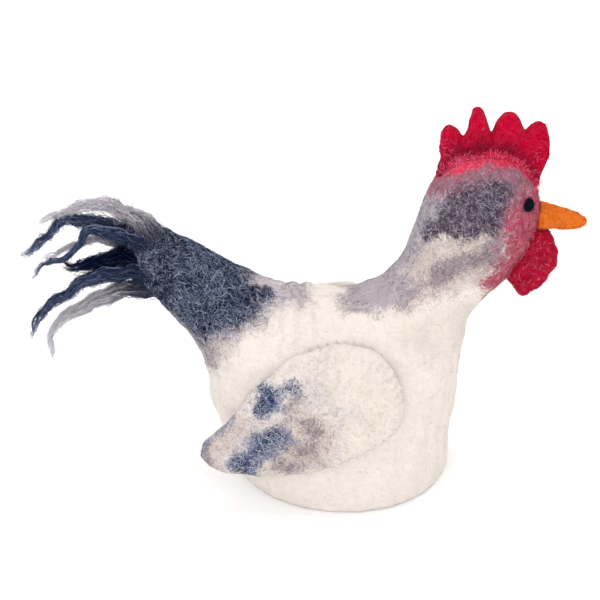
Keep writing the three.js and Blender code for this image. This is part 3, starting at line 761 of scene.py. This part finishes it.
wattle_wools = mixture((0.4, (204, 40, 76)), (0.47, (172, 6, 44)), (0.09, (228, 98, 126)),
                       (0.04, (242, 150, 168)))
throat_wools = mixture((0.36, (206, 44, 80)), (0.26, (226, 120, 142)), (0.26, (184, 12, 52)),
                       (0.12, (198, 150, 158)))
belongs(curls("throat_fibres", shell_points, shell_faces, 1500, 44, throat_wools,
              round_foot(wattle_points, wattle_faces),
              length=(1.4, 3.4), width=(0.08, 0.13), lift=0.5, fly=0.7), "red_felt")
belongs(curls("wattle_fibres", wattle_points, wattle_faces, 2800, 43, wattle_wools,
              length=(1.1, 2.6), width=(0.07, 0.115), lift=0.22, fly=0.35), "red_felt")

# Beak.
# The beak is a cone of orange wool rolled and needled hard, then needled into the face.
beak_points, beak_out, beak_faces = refelt("beak", 0.5, 4)
beak_points += beak_out * (0.12 * drift(beak_points, 3, 51))[:, None]
beak = build("beak_felt", beak_points, beak_faces,
             felt("beak_orange", (236, 116, 24), pale=0.15, pale_share=0.4, dark_share=0.2, relief=0.4,
                  fineness=0.9))
belongs(beak, "beak_felt", "beak")

beak_wools = mixture((0.5, (238, 128, 30)), (0.32, (216, 94, 12)), (0.18, (246, 156, 70)))
belongs(curls("face_fibres_round_beak", shell_points, shell_faces, 500, 53, throat_wools,
              round_foot(beak_points, beak_faces),
              length=(1.0, 2.2), width=(0.07, 0.12), lift=0.5, fly=0.6), "red_felt")
belongs(curls("beak_fibres", beak_points, beak_faces, 1500, 52, beak_wools,
              length=(0.8, 2.0), width=(0.07, 0.11), lift=0.16, fly=0.3), "beak_felt")

# Eyes.
# Each eye is a dot of near-black wool needled into the side of the face.
for side in ("right", "left"):
    eye_points, eye_out, eye_faces = refelt("eye_" + side, 0.25, 7)
    eye_points += eye_out * (0.06 * drift(eye_points, 1.5, 61))[:, None]
    eye = build("eye_" + side + "_felt", eye_points, eye_faces,
                felt("eye_black_" + side, (3, 5, 26), pale=0.04, pale_share=0.4, dark_share=0.2,
                     relief=0.4, fineness=1.2))
    belongs(eye, "eye_felt", "eye_" + side)
    belongs(curls("eye_" + side + "_fibres", eye_points, eye_faces, 260, 62, mixture((1, (8, 10, 34))),
                  length=(0.6, 1.4), width=(0.07, 0.11), lift=0.1, fly=0.5), "eye_felt")

# Wings.
# Each wing is one thick flat of cream felt with navy and grey wool laid on. It is sewn to the
# flank round its front half with small overcast stitches that nip in its rim, and its tip is free.
WING_LAID = {
    # Painted shade on the cream of the wing's inner field, below its rim, laid out like a wool.
    "oat": [
        [(-14, 36.5), (2, 45.5), (14, 47), (22, 44.4), (26, 39.4), (26.6, 33), (24, 28), (17, 23.5),
         (5, 18.5), (-10, 14), (-24, 15), (-24, 22)],
    ],
    "cloud": [
        [(-25, 23.5), (-18.3, 32.7), (-13.4, 38.5), (-7.3, 42.3), (1.3, 44.5), (8, 44), (10, 39),
         (14, 36.9), (13.9, 30.7), (11, 26.6), (11, 19.3), (4.8, 16.8), (-2.2, 15.5), (-9.3, 13.5),
         (-15.5, 11), (-22.6, 11), (-30, 15), (-29, 21.1)],
    ],
    "veil": [
        [(-0.7, 36.3), (6.2, 34.7), (10.3, 31.6), (13.8, 29.4), (10.3, 26), (7.6, 20), (9, 17.4),
         (2.1, 16.6), (-9, 14.6), (-15, 11.3), (-20, 13), (-13, 26), (-6, 31)],
        [(-29, 14), (-30, 21.5), (-24, 27), (-17, 33), (-11, 32), (-15, 26), (-21, 18), (-21, 12)],
    ],
    "stripe": [
        [(-29, 15), (-30, 19.5), (-27, 21), (-23.5, 18.5), (-23, 15)],
        [(-4.6, 35.4), (-3.4, 38.6), (-0.4, 40.8), (1, 39.8), (-0.2, 37), (-2.6, 34.8)],
        [(-2, 35), (3.4, 33.6), (7.6, 30.6), (9.4, 28.4), (5, 29), (0, 31.6), (-4, 32.4)],
        [(-2.6, 27), (1, 28.4), (4.6, 26), (4.6, 22.6), (1, 21.6), (-3, 23)],
        [(-7, 17.4), (-5, 20.4), (0, 19.8), (3.4, 18.6), (-1, 16.6), (-9, 15.4)],
    ],
    "dusk": [
        [(-31, 18), (-28, 24.6), (-24.4, 28), (-19, 32.2), (-18, 31.4), (-22.6, 26), (-24, 23.4),
         (-26, 18.6)],
        [(-13.6, 32.4), (-13, 38), (-10.3, 40.7), (-6.8, 41.8), (-3.4, 43), (-1.4, 43.4), (-2, 42.2),
         (-3, 40.6), (-3.8, 38), (-4.8, 34.6), (-8.2, 33.1), (-11, 32.2)],
        [(-20.8, 18.2), (-17.8, 20), (-15.1, 24.5), (-11, 28.4), (-6.8, 30.2), (-2, 30.2), (-1.1, 27.6),
         (-2.7, 24.5), (-5.5, 22.5), (-6.8, 19.5), (-9.6, 17), (-13, 13), (-17.2, 12.6), (-20.8, 15.2)],
    ],
    "indigo": [
        [(-12.9, 33.5), (-12, 38.6), (-9.6, 40.4), (-6.8, 41), (-3.4, 42.3), (1.1, 43.2), (0.9, 42.4),
         (-3.4, 41.3), (-6.4, 39.8), (-7.2, 36.3), (-8.2, 34.3), (-11, 33)],
        [(-17.8, 16.6), (-14.4, 21.3), (-11, 25.3), (-8.2, 28.4), (-6.2, 27.6), (-6.8, 24.5), (-10.3, 21.3),
         (-13, 16.6), (-15.8, 13.6)],
    ],
}
LEFT_LOWER = 5  # the left wing is sewn on this much lower
SEWN = [(3, 49), (9, 50.1), (14.7, 50.2), (22.9, 48), (28, 41.8), (29.4, 33.3), (26.8, 26.8), (20, 22.4),
        (10.6, 18)]
STITCHES = 25
STITCH_RADIUS = 0.16
NIP = 0.7  # how deep, and how wide, each stitch nips in the rim
RIM_RAISED = 1.4  # the upper rim stands up this much over its outline in the source
WING_MIDDLE = (8, 33)


def smooth_line(path, count):
    """Points spread evenly along a smooth curve through the given ones, and its length."""
    given = np.array(path, float)
    given = np.vstack([2 * given[0] - given[1], given, 2 * given[-1] - given[-2]])
    fine = []
    for a, b, c, d in zip(given, given[1:], given[2:], given[3:]):
        u = np.linspace(0, 1, 12, endpoint=False)[:, None]
        fine.append(b + 0.5 * u * (c - a + u * (2 * a - 5 * b + 4 * c - d + u * (3 * (b - c) + d - a))))
    fine = np.vstack([*fine, given[-2:-1]])
    reach = np.concatenate([[0], np.cumsum(np.linalg.norm(np.diff(fine, axis=0), axis=1))])
    even = np.linspace(0, reach[-1], count)
    return np.column_stack([np.interp(even, reach, fine[:, k]) for k in range(fine.shape[1])]), reach[-1]


def tubes(name, lines, radii, colours, sides=3):
    """Round strands along lines of points, each with its radius and colour at every point."""
    count, steps = lines.shape[:2]
    ahead = np.gradient(lines, axis=1)
    first = np.cross(ahead, [0.31, 0.93, 0.2])
    first /= np.maximum(np.linalg.norm(first, axis=2), 1e-9)[..., None]
    second = np.cross(ahead, first)
    second /= np.maximum(np.linalg.norm(second, axis=2), 1e-9)[..., None]
    rings = []
    for k in range(sides):
        turn = 2 * math.pi * k / sides
        rings.append(lines + radii[..., None] * (math.cos(turn) * first + math.sin(turn) * second))
    points = np.stack(rings, 2).reshape(-1, 3)
    start = (np.arange(count * steps).reshape(count, steps)[:, :-1].ravel() * sides)[:, None]
    k = np.arange(sides)[None]
    after = (k + 1) % sides
    faces = np.stack([start + k, start + after, start + sides + after, start + sides + k], 2).reshape(-1, 4)
    made = build(name, points, faces, loose_wool)
    note(made, "wool", np.repeat(colours.reshape(-1, 3), sides, 0))
    return made


def on_side(skin, facing_side, x, z):
    """Where a needle put in from the bird's side meets a skin."""
    hit = skin.ray_cast((x, 60 * facing_side, z), (0, -facing_side, 0))[0]
    return hit[1] if hit is not None else 0.0


sewn, _ = smooth_line(SEWN, STITCHES)
inward = np.gradient(sewn, axis=0)[:, ::-1] * [1, -1]
inward /= np.linalg.norm(inward, axis=1)[:, None]
inward *= np.sign(((np.array(WING_MIDDLE) - sewn) * inward).sum(1))[:, None]
for side, facing_side, lower in (("right", -1, 0), ("left", 1, LEFT_LOWER)):
    wing_points, wing_out, wing_faces = refelt("wing_" + side, 0.75, 5)
    wing_points += wing_out * (
        0.26 * drift(wing_points, 9, 71 + lower) + 0.05 * drift(wing_points, 3, 72 + lower)
    )[:, None]
    wing_points[:, 2] += RIM_RAISED * np.clip((wing_points[:, 2] + lower - 39) / 8, 0, 1)
    for (px, pz), (nx, nz) in zip(sewn, inward):
        off = np.hypot(wing_points[:, 0] - px, wing_points[:, 2] - (pz - lower))
        nip = NIP * np.exp(-((off / NIP) ** 2))
        wing_points += nip[:, None] * [nx, -0.3 * facing_side, nz]
    wing_points[:, 0] += 0.15 * lower * np.clip((-22 - wing_points[:, 0]) / 5, 0, 1)
    wing_skin = BVHTree.FromPolygons(wing_points.tolist(), wing_faces.tolist())
    seen_flat = wing_points * [1, 0, 1] + [0, 0, lower]
    wing = build("wing_" + side + "_felt", wing_points, wing_faces,
                 felt("wing_felt_" + side, (234, 224, 214), tuple(WING_LAID), pale_share=0.1, relief=0.3))
    for name, deep in depth(seen_flat, WING_LAID, WING_LAID).items():
        note(wing, name, deep)
    belongs(wing, "wing_felt", "wing_" + side)
    wing_fibres = curls(
        "wing_" + side + "_fibres", wing_points, wing_faces, 8000 - 600 * lower, 73 + lower,
        lambda points, rng: fibre_colours(points * [1, 0, 1] + [0, 0, lower], rng, "cream", WING_LAID, 0.8),
        lambda centres, out: np.clip(1 - (centres[:, 0] - 8) / 10, 0.3, 1),
        length=(1.2, 3.0), width=(0.08, 0.13), lift=0.13, fly=0.12,
    )
    belongs(wing_fibres, "wing_felt")

    stitch_lines = []
    for (px, pz), (nx, nz) in zip(sewn - [0, lower], inward):
        face = on_side(wing_skin, facing_side, px + 1.7 * nx, pz + 1.7 * nz)
        body = on_side(shell_skin, facing_side, px - 0.9 * nx, pz - 0.9 * nz)
        shift = 0.3 * nz
        path = [
            (px + 1.9 * nx + shift, face - 0.6 * facing_side, pz + 1.9 * nz),
            (px + 1.6 * nx + shift, face + 0.08 * facing_side, pz + 1.6 * nz),
            (px + 0.7 * nx, 0.8 * face + 0.2 * body + 0.02 * facing_side, pz + 0.7 * nz),
            (px, 0.4 * face + 0.6 * body, pz),
            (px - 0.3 * nx - shift, body + 0.1 * facing_side, pz - 0.3 * nz),
            (px - 0.4 * nx - shift, body - 0.6 * facing_side, pz - 0.4 * nz),
        ]
        stitch_lines.append(smooth_line(path, 12)[0])
    stitch_lines = np.array(stitch_lines)
    stitches = tubes(
        "wing_" + side + "_stitches", stitch_lines, np.full(stitch_lines.shape[:2], STITCH_RADIUS),
        np.broadcast_to(wool(230, 216, 204), stitch_lines.shape), 5,
    )
    belongs(stitches, "wing_felt")

# Tail locks.
# The tail ends in locks of unfelted wool, wetted and drawn out by hand, each of many wavy
# strands that spread over the matted root and part into wisps at the tip.
GREY_WOOL = [(216, 210, 218), (194, 187, 197), (238, 234, 240), (158, 150, 166)]
NAVY_WOOL = [(54, 66, 98), (36, 48, 80), (94, 106, 138), (146, 156, 184)]
DARK_WOOL = [(8, 17, 46), (5, 13, 40), (22, 33, 64), (66, 77, 110)]
# Each lock's path (x, height), how far aside it lies, its width at the root, a fifth, half and all
# of the way along, and how far from the root the tail's navy wool is mixed into it.
LOCKS = {
    "grey_top": dict(
        aside=0, wide=(9, 6, 3.8, 1), wools=GREY_WOOL, strands=240, frizz=1.6, mixed=12,
        path=[(-38.4, 72), (-45.3, 81), (-52.4, 85.2), (-58.7, 85.9), (-67.3, 82.9), (-77, 78.3)],
    ),
    "navy_long": dict(
        aside=0.6, wide=(9, 6, 4.2, 1.3), wools=NAVY_WOOL, strands=230, frizz=1.8, mixed=11,
        path=[(-38.4, 70.5), (-45, 75.4), (-50.6, 77.6), (-58.4, 79.4), (-66, 80.8), (-72, 75),
              (-76.4, 71), (-81.6, 69)],
    ),
    "navy_hook": dict(
        aside=-2.8, wide=(7, 4.4, 2.4, 0.7), wools=NAVY_WOOL, strands=120, frizz=1.2, mixed=11,
        path=[(-38.4, 70.5), (-46.4, 75.4), (-55.4, 78.9), (-60, 78.4), (-62.8, 74), (-65.9, 70.6),
              (-71.1, 69.3), (-75.4, 66.6), (-77, 62.4)],
    ),
    "grey_under": dict(
        aside=2.8, wide=(6, 4, 2.2, 0.9), wools=GREY_WOOL, strands=120, frizz=1.6, mixed=20,
        path=[(-38.4, 65.4), (-47.9, 71.4), (-56.9, 73.2), (-62.4, 72), (-70.9, 68.3), (-76.4, 66.3)],
    ),
    "dark_thick": dict(
        aside=0, wide=(9, 7.4, 6.4, 2), wools=DARK_WOOL, strands=290, frizz=1.6, mixed=4,
        path=[(-38.4, 65), (-44.4, 68.4), (-52.4, 68.1), (-58.9, 66.7), (-64.9, 65.7), (-69.4, 66.6)],
    ),
    "navy_lower": dict(
        aside=0, wide=(9, 5.6, 3.4, 1), wools=NAVY_WOOL, strands=200, frizz=1.5, mixed=11,
        path=[(-38.4, 61.5), (-45.4, 64.6), (-53.4, 63.6), (-60.4, 61.9), (-65.9, 57.2), (-72.4, 52.4),
              (-76, 46.5), (-78.3, 39.7)],
    ),
    "grey_lower": dict(
        aside=0, wide=(8, 5.2, 4.2, 1), wools=GREY_WOOL, strands=220, frizz=1.2, mixed=16,
        path=[(-38.4, 58.6), (-46.4, 59.2), (-53.4, 57.2), (-60.4, 53.6), (-68.8, 48.3), (-72.4, 42),
              (-71.9, 33.2)],
    ),
}
# Fellows of the same locks that lie beside them: how far aside, how much lower and how much shorter.
FELLOWS = [
    ("grey_top", 3, 1.9, 0.8), ("dark_thick", 3.7, 2, 0.85),
    ("navy_lower", -2.7, -1.5, 0.8), ("grey_lower", 3.1, 1.8, 0.75),
]
# Lengths of the waves of the thick strands and of the fine wisps among them, with their heights.
STRAND_WAVES = ((7.5, 0.55), (4.2, 0.4), (3.2, 0.2))
WISP_WAVES = ((6, 0.6), (3.4, 0.5), (2.2, 0.3))
# Towards the tip the strands of a lock gather into a few thin ends that part from each other.
TIPS = 4
TIPS_APART = 1.3
STRAYS = 0.18  # the share of strands that wander out of their lock
# How far the strands spread across the matted root, how far along it they do, and the wool that
# is matted into them there, darker in a navy lock than in a grey one.
ROOT_DEEP, ROOT_LONG = 12.5, 15
ROOT_WOOL, GREY_ROOT_WOOL = np.array(wool(60, 70, 98)), np.array(wool(84, 87, 106))


def lock_strands(lock, rng, aside=0.0, lower=0.0, keep=1.0, share=1.0, steps=23, waves=STRAND_WAVES):
    """Wavy strands of one lock: lines of points, with a radius and a colour at each."""
    line, reach = smooth_line(lock["path"], 80)
    ahead = np.gradient(line, axis=0)
    ahead /= np.linalg.norm(ahead, axis=1)[:, None]
    count = int(lock["strands"] * share)
    tips = np.random.default_rng(int(10 * lock["path"][-1][1] + 10 * lower))
    mine = rng.integers(0, TIPS, count)
    tip_turn, tip_away, tip_end, tip_size, tip_phase = (
        tips.uniform(*span, TIPS)[mine][:, None]
        for span in ((0, 2 * math.pi), (0.2, 1), (0.9, 1), (0.85, 1.15), (0, 2 * math.pi))
    )
    begin = rng.uniform(0.02, 0.12, (count, 1))
    end = keep * tip_end * (1 - 0.5 * rng.random((count, 1)) ** 2.2)
    t = begin + np.linspace(0, 1, steps)[None] * (end - begin)
    at = t * (len(line) - 1)
    x, z = (np.interp(at, np.arange(len(line)), line[:, k]) for k in (0, 1))
    ax, az = (np.interp(at, np.arange(len(line)), ahead[:, k]) for k in (0, 1))
    wide = np.interp(t / keep, [0, 0.22, 0.55, 1], lock["wide"])
    near_root = np.clip(1 - t * reach / ROOT_LONG, 0, 1) ** 1.3
    deep = 0.55 * wide * (1 - near_root) + ROOT_DEEP * near_root
    turn = rng.uniform(0, 2 * math.pi, (count, 1)) + rng.normal(0, 1.8, (count, 1)) * t
    away = np.sqrt(rng.uniform(0.02, 1.0, (count, 1))) * (1 + 0.3 * rng.normal(0, 1, (count, 1)) * t)
    stray = rng.random((count, 1)) < STRAYS
    loose = lock["frizz"] * (0.25 + 0.4 * t ** 1.8) * np.where(stray, 2.2, 1.0)
    gathered = np.clip((t / keep - 0.4) / 0.4, 0, 1) * np.where(stray, 0.5, 0.85)
    apart = (0.5 * wide + TIPS_APART * gathered) * tip_away
    across = 0.5 * wide * away * np.cos(turn) * (1 - gathered) + apart * np.cos(tip_turn) * gathered
    sideways = 0.5 * deep * away * np.sin(turn) * (1 - gathered) + apart * np.sin(tip_turn) * gathered
    for size, part in waves:
        for k in range(2):
            lone = np.sin(
                2 * math.pi * t * reach / (size * rng.uniform(0.8, 1.25, (count, 1)))
                + rng.uniform(0, 6.3, (count, 1))
            )
            shared = np.sin(2 * math.pi * t * reach / (size * tip_size) + tip_phase * (k + 1))
            wave = lone * (1 - 0.7 * gathered) + 0.6 * shared * gathered
            if k:
                across = across + part * loose * wave
            else:
                sideways = sideways + part * loose * wave
    # All the strands of a lock share its kinks.
    kink = 0.3 * np.sin(2 * math.pi * t * reach / 9 + lock["path"][0][1]) * np.clip(4 * t, 0, 1)
    across = across + kink
    lines = np.stack([x - az * across, lock["aside"] * (1 - near_root) + aside + sideways,
                      z + ax * across - lower], 2)
    # Near the root the strands are laid on its skin.
    near = (lines[..., 0] > -50).nonzero()
    for k, p in zip(zip(*near), lines[near].tolist()):
        spot, out, _, away = root_skin.find_nearest(p)
        if away < 2.5 and np.dot(np.subtract(p, spot), out) < 0.1:
            lines[k] = np.add(spot, np.multiply(out, rng.uniform(0.05, 0.3)))
    radii = rng.uniform(0.06, 0.12, (count, 1)) * np.clip(1.15 - (t / end) ** 3, 0.1, 1)
    tints = np.array([wool(*c) for c in lock["wools"]])
    own = tints[rng.choice(4, count, p=[0.36, 0.3, 0.22, 0.12])] * rng.uniform(0.85, 1.15, (count, 1))
    matted = 2.5 * (1 - t * reach / lock["mixed"]) + rng.normal(0, 0.45, (count, 1))
    matted = np.clip(matted, 0, 1)[..., None]
    faded = 1 + 0.9 * np.clip(t / keep - 0.3, 0, 1)[..., None]
    root_wool = GREY_ROOT_WOOL if lock["wools"] is GREY_WOOL else ROOT_WOOL
    colours = own[:, None] * (1 - matted) + root_wool * rng.uniform(0.5, 1.5, (count, 1, 1)) * matted
    return lines, radii * np.where(stray, 0.7, 1.0), np.minimum(colours * faded, 0.8)


locks_points, locks_out, locks_faces = refelt("tail_locks", 0.7, 3)
ROOT_FROM, CORE_UNDER = -51, 0.9  # where the root begins, and how far the cores lie under their strands
root = np.clip((locks_points[:, 0] - ROOT_FROM) / 8, 0, 1)
locks_lumps = 0.2 * drift(locks_points, 4, 81) + 0.1 * drift(locks_points, 1.6, 82)
locks_points += locks_out * (root - CORE_UNDER + locks_lumps)[:, None]
locks_skin = BVHTree.FromPolygons(locks_points.tolist(), locks_faces.tolist())
# The solid core stops short of each lock's tip, which is loose strands alone.
CORE_STOP = 0.8
nearest = np.full(len(locks_points), 1e9)
tones = np.zeros((len(locks_points), 3))
back = np.zeros((len(locks_points), 2))
for lock in LOCKS.values():
    line, _ = smooth_line(lock["path"], 40)
    gaps = np.sqrt(((locks_points[:, None, [0, 2]] - line[None]) ** 2).sum(2))
    place = gaps.argmin(1)
    gap = gaps.min(1) + 0.5 * np.abs(locks_points[:, 1] - lock["aside"])
    closer = gap < nearest
    nearest[closer] = gap[closer]
    stop = int(CORE_STOP * (len(line) - 1))
    back[closer] = (line[stop] - line[np.maximum(place, stop)])[closer]
    tones[closer] = np.array([wool(*c) for c in lock["wools"][:2]]).mean(0)
locks_points[:, [0, 2]] += back
navy_ground = wool(*WOOLS["navy"]["ground"])
tones = 0.8 * tones * (1 - root[:, None]) + np.array(navy_ground) * root[:, None]

# A thin layer of the root's wool laps over the end of the shell's felt and is felted into it.
TAIL_SEAM = np.array([-37.9, 0, 66.5])
LEAN = 0.2  # how far the tail's own line slopes down toward the body, in radians
toward = np.array([math.cos(LEAN), 0, -math.sin(LEAN)])
upward = np.array([math.sin(LEAN), 0, math.cos(LEAN)])
stations, turns = np.arange(-7.0, 8.5, 0.75), 2 * math.pi * np.arange(72) / 72
radii = np.zeros((len(stations), len(turns)))
for i, along in enumerate(stations):
    for k, turn in enumerate(turns):
        ray = math.cos(turn) * upward + math.sin(turn) * np.array([0, 1, 0])
        centre = TAIL_SEAM + toward * along
        skin = shell_skin if along > 0 else locks_skin
        hit = skin.ray_cast(tuple(centre + 40 * ray), tuple(-ray))[3]
        radii[i, k] = 40 - hit if hit else 0
solid = np.abs(stations) > 2.4
for k in range(len(turns)):
    radii[:, k] = np.interp(stations, stations[solid], radii[solid, k])
rise = np.interp(np.abs(stations), [0, 3, 6], [0.2, 0.1, -0.5])
lap_radii = radii + rise[:, None]
lap_points = np.array([
    TAIL_SEAM + toward * along + r * (math.cos(turn) * upward + math.sin(turn) * np.array([0, 1, 0]))
    for along, row in zip(stations, lap_radii) for turn, r in zip(turns, row)
])
lap_points += (0.12 * drift(lap_points, 3, 85))[:, None] * [0, 1, 1]
row, ring = np.meshgrid(np.arange(len(stations) - 1), np.arange(len(turns)), indexing="ij")
after = (ring + 1) % len(turns)
lap_faces = len(locks_points) + np.stack([
    row * len(turns) + ring, row * len(turns) + after,
    (row + 1) * len(turns) + after, (row + 1) * len(turns) + ring,
], 2).reshape(-1, 4)
core_points = np.vstack([locks_points, lap_points])
core_faces = np.vstack([locks_faces, lap_faces])
core_tones = np.vstack([tones, np.tile(navy_ground, (len(lap_points), 1))])
locks = build("tail_locks_core", core_points, core_faces,
              felt("lock_wool", None, pale_share=0.85, dark_share=0.5, relief=0.6))
note(locks, "wool", core_tones)
belongs(locks, "tail_wool", "tail_locks")

root_skin = BVHTree.FromPolygons(core_points.tolist(), core_faces.tolist())
rng = np.random.default_rng(83)
for name, is_grey in (("tail_locks_grey_strands", True), ("tail_locks_navy_strands", False)):
    made = [lock_strands(lock, rng) for own, lock in LOCKS.items() if ("grey" in own) == is_grey]
    made += [
        lock_strands(LOCKS[own], rng, *shift, share=0.5)
        for own, *shift in FELLOWS if ("grey" in own) == is_grey
    ]
    belongs(tubes(name, *(np.vstack(part) for part in zip(*made))), "tail_wool")
wisps = [
    lock_strands(dict(lock, frizz=1.5 * lock["frizz"], wide=tuple(1.2 * w for w in lock["wide"])), rng,
                 share=0.75, steps=32, waves=WISP_WAVES)
    for lock in LOCKS.values()
]
lines, radii, colours = (np.vstack(part) for part in zip(*wisps))
ahead = np.gradient(lines, axis=1)
sides = np.cross(ahead, rng.normal(size=(len(lines), 1, 3)))
sides /= np.maximum(np.linalg.norm(sides, axis=2), 1e-9)[..., None]
belongs(ribbons("tail_locks_wisps", lines, sides, 1.2 * radii.max(1), colours), "tail_wool")


def on_root(centres, out):
    """Only on the matted root, thinner toward the locks."""
    return np.clip((centres[:, 0] + 52) / 11, 0, 1) ** 2 * (centres[:, 0] < -32)


belongs(curls("tail_root_fibres", core_points, core_faces, 5200, 84, mixture(*WOOLS["navy"]["fibres"]),
              on_root, length=(1.8, 4.2), width=(0.07, 0.115), curl=0.7, fly=0.3), "tail_wool")
belongs(curls("tail_root_long_hairs", core_points, core_faces, 30, 86, mixture((1, (236, 236, 240))),
              on_root, length=(4, 8), width=(0.1, 0.14), lift=0.5, curl=0.5, steps=14), "tail_wool")
